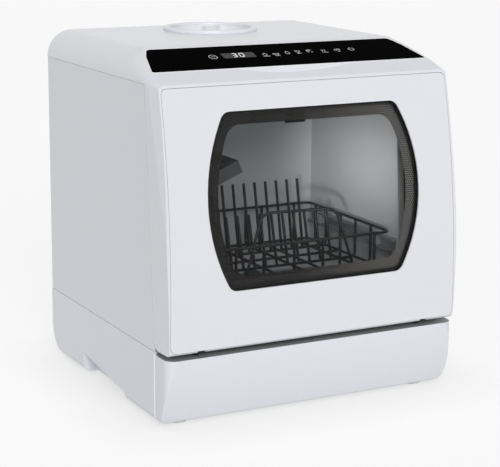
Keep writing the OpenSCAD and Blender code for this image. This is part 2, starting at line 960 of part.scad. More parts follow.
module spray_hub() {
    cap_z = arm_z + arm_t + snug;
    color(dark) translate([0, hub_y, 0]) difference() {
        union() {
            translate([0, 0, hub_z - nozzle_r - 2])
                cylinder(r = hub_r, h = tub_floor_z + 2 - hub_z + nozzle_r + 2);
            translate([0, 0, tub_floor_z - tub_wall - 3]) cylinder(r = hub_r + 6, h = 3);
            cylinder_up(tub_floor_z, arm_z - snug, stem_r + 3);
            cylinder_up(tub_floor_z, cap_z, stem_r);
            cylinder_up(cap_z, cap_z + 3, stem_r + 3);
            translate([0, 0, hub_z]) rotate([-90, 0, 0]) nozzle(hub_r + 11);
        }
        cylinder_up(hub_z - 4, cap_z - 2, stem_r - nozzle_wall);
        translate([0, 0, hub_z]) rotate([-90, 0, 0])
            cylinder(r = nozzle_r - nozzle_wall, h = 2 * hub_r, $fn = 40);
        for (a = [0, 90])
            rotate([0, 0, a]) translate([0, 0, arm_z + arm_t / 2])
                cube([4 * stem_r, 5, 5], center = true);
    }
}

module cylinder_up(z0, z1, r) {
    translate([0, 0, z0]) cylinder(r = r, h = z1 - z0);
}

// Plan of the spray arm, inset by d
module arm_plan(d) {
    tip = arm_r - 9;
    difference() {
        polygon(mirrored(concat([[0, -15 + d]], arc(tip, 0, 9 - d, -80, 80, 8), [[0, 15 - d]])));
        circle(r = stem_r + run_clear);
    }
}

module spray_arm() {
    jets = [-96, -74, -52, -30, 38, 60, 82];
    color(grey) translate([0, hub_y, arm_z]) difference() {
        union() {
            translate([0, 0, 1.5]) linear_extrude(arm_t - 3) arm_plan(0);
            difference() {
                cylinder(r = stem_r + 6, h = arm_t);
                translate([0, 0, -1]) cylinder(r = stem_r + run_clear, h = arm_t + 2);
            }
        }
        for (s = [-1, 1]) intersection() {
            translate([0, 0, 3]) linear_extrude(arm_t - 6) arm_plan(1.5);
            translate([s * (stem_r + arm_r), 0, 0]) cube([2 * arm_r, 99, 99], center = true);
        }
        for (x = jets)
            translate([x, 0, arm_t / 2]) cylinder(r = 1.3, h = arm_t, $fn = 16);
    }
}

module wash_pump() {
    front = -10;
    color(dark) {
        translate([0, front, pump_z]) rotate([-90, 0, 0]) {
            cylinder(r = volute_r, h = 24);
            translate([0, 0, 24]) cylinder(r = motor_r, h = 64);
            translate([0, 0, 88]) cylinder(r = motor_r / 2, h = 5);
        }
        translate([0, front - 10, pump_z]) rotate([-90, 0, 0]) nozzle(11);
        translate([-46, front + 12, pump_z + volute_r - 10]) rotate([0, 90, 0]) nozzle(40);
    }
}

module drain_pump() {
    floor_z = foot_h + cover_wall;
    color(dark) {
        translate([drain_pump_x, sump_y, floor_z]) cylinder(r = drain_pump_r, h = 60);
        translate([drain_pump_x, sump_y, floor_z + 60]) cylinder(r = drain_pump_r / 2, h = 4);
        translate([drain_pump_x - drain_pump_r - 10, sump_y, feed_z])
            rotate([0, 90, 0]) nozzle(14);
        translate([drain_pump_x, sump_y + drain_pump_r - 4, drain_z])
            rotate([-90, 0, 0]) nozzle(14);
    }
}

module heater() {
    color(steel) translate([heater_x, -30, heater_z]) rotate([-90, 0, 0]) {
        cylinder(r = heater_r, h = 90);
        translate([0, 0, -10]) nozzle(110);
        translate([0, -heater_r - 2, 15]) cube([12, 8, 60], center = false);
    }
}

// A straight bar between two points, carried on by e at both ends
module bar(p, q, r, e, sides) {
    v = q - p;
    translate(p) rotate([0, acos(v[2] / norm(v)), atan2(v[1], v[0])])
        translate([0, 0, -e]) cylinder(r = r, h = norm(v) + 2 * e, $fn = sides);
}

// A jointed run of bars through a list of points
module run(pts, r, e, sides) {
    for (i = [0:len(pts) - 2]) bar(pts[i], pts[i + 1], r, e, sides);
}

module hose(pts) {
    color(dark) difference() {
        run(pts, nozzle_r + hose_wall, 1, 12);
        run(pts, nozzle_r + 0.4, 2, 12);
    }
}

module wash_hoses() {
    out_z = pump_z + volute_r - 10;
    hose([[0, sump_y + sump_r + 3, feed_z], [0, -11, feed_z]]);
    hose([[-35, 2, out_z], [-52, 2, out_z], [-62, -46, out_z], [-78, -68, 66],
        [heater_x, -66, heater_z], [heater_x, -31, heater_z]]);
    hose([[heater_x, 62, heater_z], [heater_x, 82, heater_z], [-70, 84, hub_z],
        [0, 40, hub_z], [0, hub_y + hub_r + 1, hub_z]]);
    hose([[sump_r + 3, sump_y, feed_z], [drain_pump_x - drain_pump_r - 1, sump_y, feed_z]]);
}

module drain_hose() {
    y0 = sump_y + drain_pump_r + 3;
    hose([[drain_pump_x, y0, drain_z], [110, 110, drain_z], [110, 140, 42], [drain_x, 138, 92],
        [drain_x, 138, pocket_z], [drain_x, pocket_y - sheet - 3, pocket_z]]);
}

module supply_hose() {
    hose([[inlet_x, 150, pocket_z + 16], [inlet_x, 150, pocket_z + 24],
        [inlet_x, 150, tank_z0 - 1]]);
    hose([[fill_x, 150, tank_z0 - 1], [fill_x, 150, fill_z],
        [fill_x, tub_back_y + tub_wall + 1, fill_z]]);
}

// ---------- basket ----------

module rack_rails() {
    x0 = tub_w / 2 - 9;
    x1 = tub_w / 2 - 0.05;
    y0 = seam_y(rail_z) + frame_t + 6;
    color(grey) for (m = [0, 1]) mirror([m, 0, 0])
        deep(y0, tub_back_y - 8) polygon([[x0, rail_z - 4], [x1, rail_z - 4],
            [x1, rail_z + rail_gap + 3], [x0, rail_z + rail_gap + 3],
            [x0, rail_z + rail_gap], [x1 - 2, rail_z + rail_gap], [x1 - 2, rail_z],
            [x0, rail_z]]);
}

// A bent wire of six-sided bars
module wire(pts) {
    run(pts, wire_d / 2, wire_d / 2 - 0.3, 6);
}

// Keeps what stands on the floor wires, between y0 and y1
module above_floor_wires(y0, y1) {
    intersection() {
        children();
        translate([-half_w, y0, basket_floor_z + wire_d / 2 + eps])
            cube([body_w, y1 - y0, body_h]);
    }
}

module basket_floor() {
    x = basket_x1;
    y0 = basket_y0;
    y1 = basket_y1;
    low = basket_floor_z;
    color(dark) {
        wire([[-x, y0, low], [x, y0, low], [x, y1, low], [-x, y1, low], [-x, y0, low]]);
        for (i = long_wires) wire([[i, y0, low], [i, y1, low]]);
        for (i = cross_wires) wire([[-x, i, low], [x, i, low]]);
    }
}

// The four sides of the basket, welded at their corners
module basket_rim() {
    x = basket_x1;
    low = basket_floor_z;
    rim = basket_rim_z;
    weld = wire_d / 2 + eps;
    color(dark) {
        for (y = [basket_y0, basket_y1]) above_floor_wires(y - wire_d, y + wire_d) {
            wire([[-x, y, rim], [x, y, rim]]);
            for (i = long_wires) wire([[i, y, rim], [i, y, low]]);
            if (y < 0) wire([[-66, y, low], [-40, y, rim + 41], [77, y, rim + 41],
                [101, y, low]]);
        }
        above_floor_wires(basket_y0 + weld, basket_y1 - weld) for (j = [-x, x]) {
            wire([[j, basket_y0, rim], [j, basket_y1, rim]]);
            for (i = cross_wires) wire([[j, i, rim], [j, i, low]]);
        }
    }
}

// Two rows of tines, leaning back, each on a cross bar
module plate_tines() {
    foot = basket_floor_z + wire_d;
    color(dark) for (j = [0, 1]) {
        y = 35 - 80 * j;
        wire([[-68, y, foot], [114, y, foot]]);
        for (i = [-1:9])
            wire([[-45 + 17 * i, y, foot], [-49 + 17 * i, y + 12, basket_rim_z + 45 - 26 * j]]);
    }
}

// Raised hoop beside the left rim, with the wire that the cup shelf turns on
module cup_rail() {
    x = basket_x1 - wire_d;
    color(dark) {
        for (y = [-90, 50]) wire([[-x, y, basket_floor_z + wire_d],
            [-x, y, basket_rim_z + 2 * wire_d], [shelf_axis_x, y, shelf_axis_z]]);
        translate([shelf_axis_x, -92, shelf_axis_z]) rotate([-90, 0, 0])
            cylinder(r = shelf_wire_r, h = 144, $fn = 32);
    }
}

module basket_glides() {
    color(light) for (s = [-1, 1], y = [cross_wires[0], cross_wires[4]])
        translate([s * (basket_w / 2 + 0.05 + 4.7), y, rail_z + snug + rail_gap / 2 - snug])
            cube([9.4, glide_l, rail_gap - 2 * snug], center = true);
}

// Places things on the cup shelf: x inward and up from its hinge wire
module on_shelf() {
    translate([shelf_axis_x, 0, shelf_axis_z]) rotate([0, -shelf_tilt, 0]) children();
}

module cup_shelf() {
    wall = 2.5;
    x0 = shelf_wire_r + 4;
    bore_r = shelf_wire_r + run_clear;
    color(dark) on_shelf() difference() {
        union() {
            translate([x0, shelf_y0, -wall / 2]) cube([shelf_w - x0, shelf_y1 - shelf_y0, wall]);
            translate([shelf_w - wall, shelf_y0, -shelf_skirt])
                cube([wall, shelf_y1 - shelf_y0, shelf_skirt]);
            for (y = [shelf_y0, shelf_y1 - wall]) translate([14, y, -shelf_skirt])
                cube([shelf_w - 14, wall, shelf_skirt]);
            for (y = [-65, 25]) translate([0, y, 0]) rotate([-90, 0, 0])
                cylinder(r = bore_r + 2.4, h = 14, $fn = 40);
            for (y = [-65, 25]) translate([0, y, -wall / 2]) cube([x0 + 1, 14, wall]);
        }
        translate([0, shelf_y0, 0]) rotate([-90, 0, 0])
            cylinder(r = bore_r, h = shelf_y1 - shelf_y0, $fn = 40);
        for (i = [0:8]) translate([18, shelf_y0 + 14 + 18.5 * i, -wall])
            cube([shelf_w - 30, 7, 2 * wall]);
    }
}

// ---------- water tank and filler ----------

// Side outline of the tank, inset by d
module tank_outline(d) {
    polygon([[tank_slab_y + d, tank_z0 + d], [tank_y1 - d, tank_z0 + d],
        [tank_y1 - d, tank_z1 - d], [tank_y0 + d, tank_z1 - d],
        [tank_y0 + d, tank_floor_z + d], [tank_slab_y + d, tank_floor_z + d]]);
}

module water_tank() {
    color("#C9D6DE", 0.6) difference() {
        union() {
            across(tank_w, tank_x) tank_outline(0);
            for (x = [inlet_x, fill_x]) translate([x, 150, tank_z0 - 10]) nozzle(11);
        }
        across(tank_w - 2 * tank_wall, tank_x) tank_outline(tank_wall);
        translate([0, filler_y, tank_z1 - 2 * tank_wall])
            cylinder(r = throat_r + 3 + snug, h = 4 * tank_wall);
        for (x = [inlet_x, fill_x]) translate([x, 150, tank_z0 - 20])
            cylinder(r = nozzle_r - nozzle_wall, h = 30, $fn = 40);
    }
}

module filler_neck() {
    rim_z = body_h + filler_rim_h;
    inner_r = dish_r + 0.4;
    color(white) translate([0, filler_y, 0]) rotate_extrude($fn = 128) polygon(concat(
        [[throat_r, tank_z1 - tank_wall - 1], [throat_r + 3, tank_z1 - tank_wall - 1],
            [throat_r + 3, ledge_z - 3], [filler_hole_r - snug, ledge_z - 3],
            [filler_hole_r - snug, body_h], [filler_r, body_h]],
        arc(filler_r - 2.5, rim_z - 2.5, 2.5, 0, 90, 5), arc(inner_r + 2, rim_z - 2, 2, 90, 180, 5),
        [[inner_r, ledge_z], [throat_r, ledge_z]]));
}

module tank_lid() {
    top = body_h + 2;
    color(white) translate([0, filler_y, 0]) {
        rotate_extrude($fn = 128) polygon(concat(
            [[0, lid_z], [throat_r - 4, lid_z], [throat_r - 4, ledge_z - 4],
                [throat_r - 0.6, ledge_z - 4], [throat_r - 0.6, lid_z], [dish_r, lid_z]],
            arc(dish_r - 1, top - 1, 1, 0, 90, 3),
            [[dish_r - 3, top], [dish_r - 5, lid_z + 5], [dish_r - 9, lid_z + 3], [0, lid_z + 3]]));
        rotate([0, 0, lid_turn]) translate([0, 0, lid_z + 2]) linear_extrude(13)
            polygon(mirrored([[13, -dish_r + 6], [8, -25], [7, 0], [8, 25], [13, dish_r - 6]]));
    }
}

module lid_seal() {
    color(dark) translate([0, filler_y, ledge_z + 2]) rotate_extrude($fn = 96)
        translate([throat_r + 8, 0]) circle(r = 1.98, $fn = 24);
}

// ---------- connections, fan and electronics ----------

// A round rear fitting: r outside, with a flange in the pocket and a nozzle within
module fitting(r, h) {
    translate([0, pocket_y, pocket_z]) rotate([-90, 0, 0]) {
        cylinder(r = 16, h = 3);
        cylinder(r = r, h = h);
        translate([0, 0, -sheet - 1]) cylinder(r = spigot_r - 0.1, h = sheet + 2);
    }
}

module inlet_valve() {
    color(steel) translate([inlet_x, 0, 0]) difference() {
        union() {
            fitting(thread_r, 20);
            translate([-14, 136, pocket_z - 18]) cube([28, pocket_y - sheet - 0.2 - 136, 30]);
            translate([0, 150, pocket_z + 11]) nozzle(16);
        }
        translate([0, 150, pocket_z]) rotate([-90, 0, 0]) cylinder(r = 6, h = body_d, $fn = 40);
        translate([0, 150, pocket_z - 4]) cylinder(r = 6, h = 60, $fn = 40);
    }
}

module drain_outlet() {
    color(dark) translate([drain_x, 0, 0]) difference() {
        union() {
            fitting(spigot_r, 26);
            translate([0, pocket_y - 16, pocket_z]) rotate([-90, 0, 0]) nozzle(17);
        }
        translate([0, pocket_y - 40, pocket_z]) rotate([-90, 0, 0])
            cylinder(r = nozzle_r - nozzle_wall, h = body_d, $fn = 40);
    }
}

module mains_inlet() {
    color(black) translate([mains_x, pocket_y, pocket_z]) {
        difference() {
            union() {
                translate([0, 1, 0]) cube([36, 2, 28], center = true);
                translate([0, -12, 0]) cube([28.6, 26, 20.6], center = true);
            }
            translate([0, -6, 0]) cube([24, 34, 16], center = true);
        }
        for (x = [-7, 0, 7]) translate([x, -13, x == 0 ? 3 : -2]) cube([2, 22, 5], center = true);
    }
}

module fan_housing() {
    r = fan_r + 1.5;
    color(dark) translate([fan_x, fan_y, fan_z]) {
        difference() {
            translate([0, fan_d / 2, 0]) cube([fan_size, fan_d, fan_size], center = true);
            translate([0, 3, 0]) rotate([-90, 0, 0]) cylinder(r = r, h = fan_d);
            translate([duct_x - fan_x, 0, 0])
                cube([duct_size[0] - 2 * tub_wall, 9, duct_size[1] - 2 * tub_wall], center = true);
        }
        rotate([-90, 0, 0]) {
            translate([0, 0, 1]) cylinder(r = 9, h = 8);
            translate([0, 0, 1]) cylinder(r = shaft_r, h = fan_d - 5, $fn = 40);
        }
    }
}

module fan_rotor() {
    color(black) translate([fan_x, fan_y + 10, fan_z]) rotate([-90, 0, 0]) difference() {
        union() {
            cylinder(r = 11, h = 15);
            for (a = [0:360 / 7:359])
                rotate([0, 0, a]) translate([fan_r / 2 + 4, 0, 7.5]) rotate([35, 0, 0])
                    cube([fan_r - 9, 1.6, 15], center = true);
        }
        translate([0, 0, -1]) cylinder(r = shaft_r + run_clear, h = 20, $fn = 40);
    }
}

module air_duct() {
    y0 = tub_back_y + tub_wall;
    color(dark) translate([duct_x, (y0 + fan_y) / 2, fan_z]) difference() {
        cube([duct_size[0], fan_y - y0, duct_size[1]], center = true);
        cube([duct_size[0] - 2 * tub_wall, fan_y, duct_size[1] - 2 * tub_wall], center = true);
    }
}

module board_box() {
    color(light) translate([board_box_x, -60, 130]) difference() {
        cube(board_box_size);
        translate([2, 2, 2]) cube(board_box_size - [4, 4, 4]);
        for (i = [0:5]) translate([10, 30 + 18 * i, board_box_size[2] - 9]) cube([20, 8, 18]);
    }
}

module main_board() {
    x = board_box_x + 2.4;
    color("#2E6B4A") translate([x, -55, 135]) cube([1.6, 150, 116]);
    color(dark) translate([x, -55, 135]) {
        translate([1.6, 10, 10]) cube([26, 42, 36]);
        for (i = [0:3]) translate([1.6, 68 + 20 * i, 12]) cube([16, 15, 20]);
        for (i = [0:2]) translate([1.6, 20 + 24 * i, 80]) rotate([0, 90, 0])
            cylinder(r = 9, h = 24, $fn = 32);
    }
}

top_cover();
left_side_panel();
right_side_panel();
back_panel();
base_tray();
base_fascia();
feet();
front_frame();
case_screws();
control_panel();
display_module();
touch_board();
board_box();
main_board();
door_frame();
door_face();
window_glass();
door_liner();
inner_pane();
pane_gasket();
door_seal();
door_catch();
door_lock();
left_hinge_bracket();
right_hinge_bracket();
left_hinge_plate();
right_hinge_plate();
hinge_pins();
tub();
sump();
filter();
spray_hub();
spray_arm();
wash_pump();
drain_pump();
heater();
wash_hoses();
drain_hose();
supply_hose();
rack_rails();
basket_floor();
basket_rim();
plate_tines();
cup_rail();
basket_glides();
cup_shelf();
water_tank();
filler_neck();
tank_lid();
lid_seal();
inlet_valve();
drain_outlet();
mains_inlet();
fan_housing();
fan_rotor();
air_duct();
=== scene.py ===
# %% [markdown]
# # A countertop dishwasher
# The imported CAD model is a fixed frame: every casing, door, basket and lid is already where it
# belongs, in metres. This lesson dresses that frame. It gives each part the finish of the real
# material, rounds the edges that catch the light, and builds what solid modelling leaves plain:
# bent wire, printed glass, lit digits and touch symbols.

# %% Load the frame
import json
import math

import bmesh
import bpy
from mathutils import Matrix, Vector


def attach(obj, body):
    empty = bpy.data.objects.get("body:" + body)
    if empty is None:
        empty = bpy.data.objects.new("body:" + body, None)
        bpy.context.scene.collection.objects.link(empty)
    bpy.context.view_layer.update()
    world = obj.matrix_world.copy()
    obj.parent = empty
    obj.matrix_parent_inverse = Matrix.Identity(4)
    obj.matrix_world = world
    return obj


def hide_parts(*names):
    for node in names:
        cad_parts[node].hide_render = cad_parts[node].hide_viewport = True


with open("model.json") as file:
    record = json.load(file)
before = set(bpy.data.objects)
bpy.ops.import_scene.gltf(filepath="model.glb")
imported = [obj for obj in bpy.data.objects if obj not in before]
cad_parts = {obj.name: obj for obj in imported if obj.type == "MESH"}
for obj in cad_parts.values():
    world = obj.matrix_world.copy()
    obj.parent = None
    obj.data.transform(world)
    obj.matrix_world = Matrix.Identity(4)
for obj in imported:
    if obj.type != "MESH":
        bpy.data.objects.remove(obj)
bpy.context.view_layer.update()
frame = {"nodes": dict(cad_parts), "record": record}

MM = 0.001

# %% [markdown]
# ## Camera
# The product was seen from its left front, a little above the middle of the door, with a long
# lens. A long lens far away keeps the vertical edges nearly parallel. The angles come from
# fitting the casing's straight edges; the lens follows from the size of the machine.

# %% Camera
AZIMUTH, ELEVATION, ROLL = (math.radians(a) for a in (-27.7994, 12.7284, 0.3975))
back = Vector((math.sin(AZIMUTH) * math.cos(ELEVATION), -math.cos(AZIMUTH) * math.cos(ELEVATION),
               math.sin(ELEVATION)))
level = Vector((math.cos(AZIMUTH), math.sin(AZIMUTH), 0))
above = back.cross(level)
right = level * math.cos(ROLL) + above * math.sin(ROLL)
upward = above * math.cos(ROLL) - level * math.sin(ROLL)
camera = bpy.data.objects.new("camera", bpy.data.cameras.new("camera"))
camera.data.lens, camera.data.sensor_width = 115.635, 36
camera.matrix_world = Matrix.Translation(Vector((-996.084, -1898.584, 678.185)) * MM) @ \
    Matrix((right, upward, back)).transposed().to_4x4()
bpy.context.scene.collection.objects.link(camera)
bpy.context.scene.camera = camera
bpy.context.scene.view_settings.view_transform = "Standard"
print("camera", [round(c, 3) for c in camera.location], "lens", camera.data.lens)

# %% [markdown]
# ## Colours and nodes
# Colours are written as they would be picked from a paint card, as sRGB hex values, and turned
# to the linear numbers that a renderer adds up. One small function adds a shader node, sets it
# and links it, so that a material reads as a short list.

# %% Colour and node helpers
def paint(hex_code):
    """The linear colour of an sRGB hex code."""
    parts = [int(hex_code[i:i + 2], 16) / 255 for i in (1, 3, 5)]
    return [c / 12.92 if c <= 0.04045 else ((c + 0.055) / 1.055) ** 2.4 for c in parts] + [1]


def node(tree, kind, inputs=(), **settings):
    """Adds a node; each input is a value, or the output of another node."""
    made = tree.nodes.new("ShaderNode" + kind)
    for name, value in settings.items():
        setattr(made, name, value)
    for name, value in dict(inputs).items():
        if isinstance(value, bpy.types.NodeSocket):
            tree.links.new(value, made.inputs[name])
        else:
            made.inputs[name].default_value = value
    return made


def new_material(name):
    made = bpy.data.materials.new(name)
    made.use_nodes = True
    made.node_tree.nodes.clear()
    return made, made.node_tree


def seen_by_eye(tree):
    """1 for rays that look: straight, by reflection, or through glass."""
    path = node(tree, "LightPath")
    two = node(tree, "Math", {0: path.outputs["Is Camera Ray"], 1: path.outputs["Is Glossy Ray"]},
               operation="MAXIMUM")
    return node(tree, "Math", {0: two.outputs[0], 1: path.outputs["Is Transmission Ray"]},
                operation="MAXIMUM").outputs[0]


# %% [markdown]
# ## Studio
# The light is a plain white tent: even light from all round, and one broad lamp from the front,
# above and a little to the left. A second lamp, narrow and low, looks in through the window.
# The backdrop's paleness is a colour that only looking rays see, so that it adds no light to the
# object. The floor does the same: looking rays meet a darker paper that glows, so that the
# light which the machine throws in front of itself doesn't burn out, and the glow fades close
# to the machine as a painted contact shadow, where a real floor has its soft one. All other
# rays meet plain white paper.

# %% World, lamp and floor
BACKDROP = paint("#F9F9F9")
TENT = 0.45
world = bpy.data.worlds.new("tent")
bpy.context.scene.world = world
world.use_nodes = True
tree = world.node_tree
tree.nodes.clear()
tent = node(tree, "Background", {"Color": (1, 1, 1, 1), "Strength": TENT})
seen = node(tree, "Background", {"Color": BACKDROP, "Strength": 1})
both = node(tree, "MixShader", {0: seen_by_eye(tree), 1: tent.outputs[0], 2: seen.outputs[0]})
node(tree, "OutputWorld", {"Surface": both.outputs[0]})

lamp = bpy.data.objects.new("broad_lamp", bpy.data.lights.new("broad_lamp", "SUN"))
LAMP_SIDE = Vector((-0.33, -0.84, 0.43))
lamp.data.energy, lamp.data.angle = 1.50, math.radians(30)
lamp.matrix_world = LAMP_SIDE.to_track_quat("Z", "Y").to_matrix().to_4x4()
bpy.context.scene.collection.objects.link(lamp)

# A narrow lamp looks in through the window, so that the chamber's far wall is seen.
inside = bpy.data.objects.new("window_lamp", bpy.data.lights.new("window_lamp", "SPOT"))
inside.data.energy, inside.data.spot_size, inside.data.spot_blend = 175, math.radians(6), 0.7
inside.data.shadow_soft_size = 0.06
stand, aim = Vector((-0.90, -1.60, 0.42)), Vector((0.16, -0.05, 0.29))
inside.matrix_world = Matrix.Translation(stand) @ \
    (stand - aim).to_track_quat("Z", "Y").to_matrix().to_4x4()
bpy.context.scene.collection.objects.link(inside)

floor_paint, tree = new_material("paper_floor_matt")
FLOOR_GLOW, CONTACT_M = 0.728, 0.11
paper_tone = node(tree, "MixRGB", {"Fac": seen_by_eye(tree), "Color1": paint("#E8E8E8"),
                                   "Color2": paint("#9A9A9A")})
paper = node(tree, "BsdfDiffuse", {"Color": paper_tone.outputs[0]})
glow = node(tree, "Emission", {"Color": (1, 1, 1, 1)})
# Painted contact shadow: ambient occlusion dims the floor's glow close to the machine.
near = node(tree, "AmbientOcclusion", {"Distance": CONTACT_M}, samples=8)
shade = node(tree, "MapRange", {"Value": near.outputs["AO"], "From Min": 0.45,
                                "To Min": 0.84, "To Max": 1})
eye = node(tree, "Math", {0: seen_by_eye(tree), 1: FLOOR_GLOW}, operation="MULTIPLY")
lift = node(tree, "Math", {0: eye.outputs[0], 1: shade.outputs[0]}, operation="MULTIPLY")
tree.links.new(lift.outputs[0], glow.inputs["Strength"])
shown = node(tree, "AddShader", {0: paper.outputs[0], 1: glow.outputs[0]})
node(tree, "OutputMaterial", {"Surface": shown.outputs[0]})
bm = bmesh.new()
bmesh.ops.create_grid(bm, x_segments=1, y_segments=1, size=30)
floor = bpy.data.objects.new("floor", bpy.data.meshes.new("floor"))
bm.to_mesh(floor.data)
bm.free()
floor.data.materials.append(floor_paint)
bpy.context.scene.collection.objects.link(floor)
print("tent", TENT, "lamp", lamp.data.energy)

# %% [markdown]
# ## Plastics, paint and rubber
# Nearly everything here is moulded, sprayed or dipped. Such a surface is one colour, and what
# the eye reads is how it breaks a highlight: a mould leaves a faint waviness, powder paint
# shrinks to an orange peel, a spark-eroded mould leaves a grain. So one recipe serves them all:
# a noise of a real size, in millimetres, presses a small bump, and a much larger and fainter
# one varies the roughness, as handling and cooling do.

# %% The recipe
def coated(name, hex_code, roughness, grain_mm, depth_mm, uneven=0.015, cloud_mm=90, **sockets):
    """A one-colour finish with a grain of a real size and a slightly uneven gloss."""
    made, tree = new_material(name)
    place = node(tree, "TexCoord").outputs["Object"]
    grain = node(tree, "TexNoise", {"Vector": place, "Scale": 1 / (grain_mm * MM), "Detail": 2})
    cloud = node(tree, "TexNoise", {"Vector": place, "Scale": 1 / (cloud_mm * MM), "Detail": 1})
    gloss = node(tree, "MapRange", {"Value": cloud.outputs[0], "From Min": 0, "From Max": 1,
                                    "To Min": roughness - uneven, "To Max": roughness + uneven})
    bump = node(tree, "Bump", {"Height": grain.outputs[0], "Strength": 1,
                               "Distance": depth_mm * MM})
    skin = node(tree, "BsdfPrincipled", {"Base Color": paint(hex_code),
                                         "Roughness": gloss.outputs[0],
                                         "Normal": bump.outputs[0]})
    for socket, value in sockets.items():
        skin.inputs[socket.replace("_", " ")].default_value = value
    node(tree, "OutputMaterial", {"Surface": skin.outputs[0]})
    return made


# Polished-mould ABS: white with the cool cast of titanium pigment, a gloss with faint waves.
glossy_abs = coated("abs_moulded_glossy", "#ECEDF2", 0.24, 9, 0.006)
# Powder paint on steel sheet: the same white, a little duller, with a fine orange peel.
painted_steel = coated("steel_powder_coated", "#E9EAF0", 0.38, 3.5, 0.012)
# Fine-grained ABS of the base and door frame: satin, so edges glow softly.
satin_abs = coated("abs_moulded_satin", "#EBECF2", 0.34, 2.5, 0.010)
# Grained polypropylene of the chamber: a soft grey sheen.
# The same grey also stands as painted shade on the sill under the door.
grey_pp_and_painted_shade = coated("polypropylene_grained_and_painted_shade", "#8F9294", 0.45, 3, 0.02, 0.06)
# The chamber itself: a light grey that throws the light about inside.
tub_pp = coated("polypropylene_moulded_light", "#D0D2D3", 0.42, 4, 0.02, 0.05)
pale_pp = coated("polypropylene_moulded_pale", "#B9BBBD", 0.45, 3, 0.02, 0.06)
# Dark ABS of the cup shelf and pump housings.
dark_abs = coated("abs_moulded_dark", "#46474A", 0.48, 2.5, 0.015)
# Nylon dip on basket wire: dark, smooth and slightly soft at the highlights.
nylon_dip = coated("nylon_dipped_wire", "#262729", 0.36, 2, 0.01)
# Rubber of feet and seals: matt, a little dusty.
foot_rubber = coated("rubber_moulded_matt", "#E0E1E4", 0.75, 1.5, 0.02, 0.08)
seal_rubber = coated("epdm_extruded", "#3B3C3E", 0.6, 2, 0.01, 0.08)
# Black e-coated steel of the hinge brackets.
black_steel = coated("steel_dip_painted_black", "#161617", 0.4, 2, 0.01)
# Blow-moulded natural polypropylene of the water tank: milky.
milky_pp = coated("polypropylene_blow_moulded", "#D7DDE0", 0.42, 6, 0.03)
print("coated finishes:", len(bpy.data.materials) - 1)

# %% [markdown]
# ## Glass, metal and board
# The control strip is clear acrylic printed black behind, and it drinks nearly all light, so its
# specular level is low. The window is tinted tempered glass: a thin sheet that mostly lets
# light through, so it is drawn with alpha rather than refraction, which would leave the inside
# dark. Zinc plating is a metal with a cloudy gloss.

# %% Glass, metal and board
strip_black = coated("acrylic_printed_black", "#010101", 0.18, 20, 0.002, 0.03,
                     Specular_IOR_Level=0.001)
window_tint = coated("glass_tempered_tinted", "#0E1011", 0.06, 30, 0.002, 0.02, Alpha=0.08)
pane_tint = coated("glass_tempered_clear", "#141616", 0.06, 30, 0.002, 0.02, Alpha=0.03)
zinc = coated("steel_zinc_plated", "#C2C4C6", 0.3, 5, 0.008, 0.08, 12, Metallic=1)
solder_mask = coated("epoxy_board_solder_masked", "#1E5A3C", 0.35, 2, 0.01)
print("glass alpha", 0.08, "and", 0.03)

# %% [markdown]
# ## Parts that keep their shape
# A CAD part whose shape is right is copied, its triangles merged into clean faces, and its
# edges rounded by a few tenths of a millimetre, as every moulded or folded edge is. Weighted
# normals keep the large flats flat, so that the highlight runs along the edge only.

# %% Soft-edged copies
def place(name, mesh, body, slot, finish, *replaced):
    """Puts a finished mesh into the scene as a piece that rides on a body."""
    made = bpy.data.objects.new(name, mesh)
    bpy.context.scene.collection.objects.link(made)
    mesh.materials.clear()
    mesh.materials.append(finish)
    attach(made, body)
    if replaced:
        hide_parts(*replaced)
    return made


slot_of = {part["node"]: part["material_slot"] for part in frame["record"]["subparts"]}
body_of = {part: body for body, parts in frame["record"]["behaviour"]["bodies"].items()
           for part in parts}


def softened(part, finish, edge_mm=0.5, crease=30):
    """A copy of a CAD part with merged faces, smooth curves and rounded edges."""
    bm = bmesh.new()
    bm.from_mesh(frame["nodes"][part].data)
    bmesh.ops.remove_doubles(bm, verts=bm.verts, dist=0.00001)
    bmesh.ops.dissolve_limit(bm, angle_limit=math.radians(0.2), verts=bm.verts, edges=bm.edges)
    for face in bm.faces:
        face.smooth = True
    mesh = bpy.data.meshes.new(part + "_soft")
    bm.to_mesh(mesh)
    bm.free()
    mesh.set_sharp_from_angle(angle=math.radians(crease))
    made = place(part + "_soft", mesh, body_of[part], slot_of[part], finish, part)
    if edge_mm:
        edge = made.modifiers.new("rounded_edges", "BEVEL")
        edge.width, edge.segments, edge.limit_method = edge_mm * MM, 2, "ANGLE"
        edge.angle_limit = math.radians(crease)
        edge.use_clamp_overlap = True
        edge.miter_outer = "MITER_ARC"
    flats = made.modifiers.new("flat_flats", "WEIGHTED_NORMAL")
    flats.keep_sharp = True
    return made


SOFT = [
    (glossy_abs, 0.6, "top_cover door_face filler_neck tank_lid"),
    (painted_steel, 0.5, "left_side_panel right_side_panel back_panel"),
    (satin_abs, 0.5, "base_tray base_fascia door_frame"),
    (strip_black, 0.3, "control_panel"),
    (pale_pp, 0.4, "door_liner"),
    (tub_pp, 0.4, "tub"),
    # The front frame is grey partly as painted shade, so the thin seam round the door reads dark.
    (grey_pp_and_painted_shade, 0.4, "front_frame rack_rails spray_arm filter"),
    (dark_abs, 0.4, "cup_shelf spray_hub door_lock door_catch sump"),
    (black_steel, 0.3, "left_hinge_bracket right_hinge_bracket"),
    (zinc, 0.3, "left_hinge_plate right_hinge_plate inlet_valve"),
    (foot_rubber, 0.5, "feet"),
    (dark_abs, 0.3, "drain_outlet mains_inlet fan_rotor"),
]
for finish, edge_mm, parts in SOFT:
    for part in parts.split():
        softened(part, finish, edge_mm)
